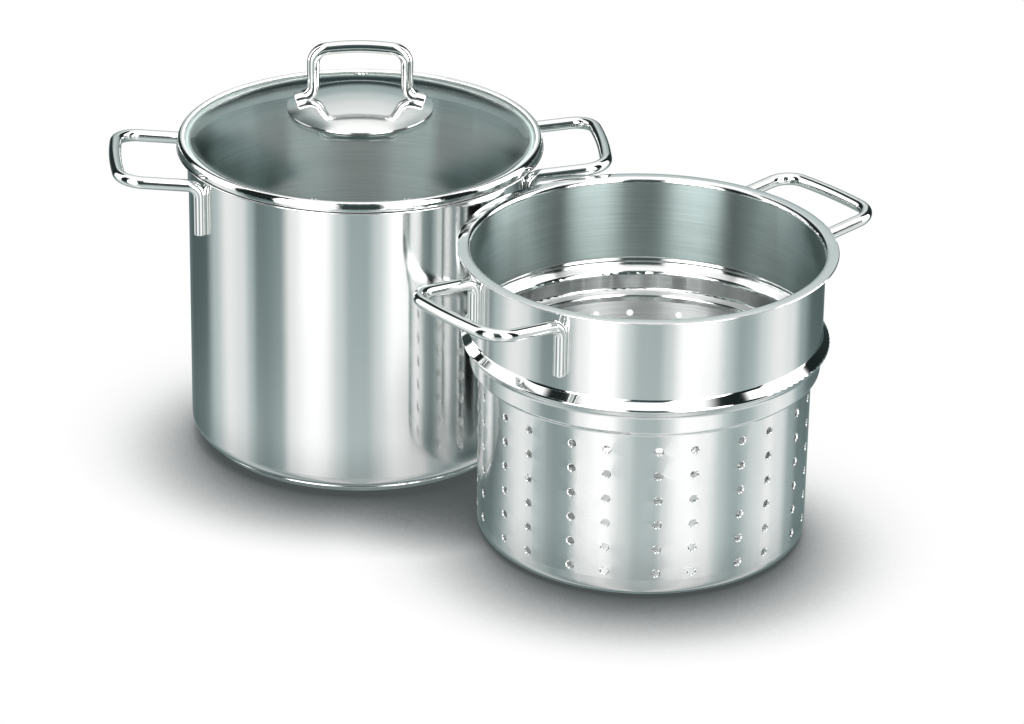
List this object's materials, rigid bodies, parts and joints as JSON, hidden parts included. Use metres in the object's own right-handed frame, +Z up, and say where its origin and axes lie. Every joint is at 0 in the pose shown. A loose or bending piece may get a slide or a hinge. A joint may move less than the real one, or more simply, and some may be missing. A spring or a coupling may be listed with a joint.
{
  "type": "pasta pot with strainer insert",
  "caption": "Tall steel pasta pot with a glass lid, and its perforated steel strainer insert standing beside it.",
  "frame": {"origin": "middle of the pot's base, on the table", "axes": "+Z up along the pot's axis, +X through the pot's right handle on the strainer's side, +Y towards the back"},
  "size_m": [0.48, 0.3983, 0.2719],
  "materials": {
    "satin_steel": "satin, bright, straight grain round the wall",
    "strainer_steel": "satin, bright, with a polished bead",
    "base_steel": "satin",
    "base_aluminium": "matt, sealed in",
    "handle_steel": "mirror polish",
    "polished_steel": "mirror polish",
    "lid_disc_steel": "mirror polish, slightly soft",
    "inner_steel": "satin",
    "lid_glass": "clear, tempered",
    "seal_rubber": "silicone, semi-matt"
  },
  "bodies": {
    "pot": {"pot_shell": "satin_steel", "pot_base_core": "base_aluminium", "pot_base_cap": "base_steel", "pot_handle_left": "handle_steel", "pot_handle_right": "handle_steel"},
    "lid": {"lid_glass": "lid_glass", "lid_rim": "polished_steel", "lid_seal": "seal_rubber", "lid_disc": "lid_disc_steel", "lid_disc_gasket": "seal_rubber", "lid_handle": "handle_steel", "lid_boss": "inner_steel", "lid_cup": "inner_steel", "lid_cup_gasket": "seal_rubber", "lid_screw": "inner_steel", "lid_vent": "polished_steel"},
    "strainer": {"strainer_shell": "strainer_steel", "strainer_handle_left": "handle_steel", "strainer_handle_right": "handle_steel"}
  },
  "joints": [
    {"name": "lid_lift", "type": "slide", "parent": "pot", "child": "lid", "axis": [0, 0, 1], "range_m": [0, 0.25]},
    {"name": "strainer_lift", "type": "slide", "parent": "pot", "child": "strainer", "axis": [0.5082, -0.4917, 0.7071], "range_m": [0, 0.28]}
  ]
}
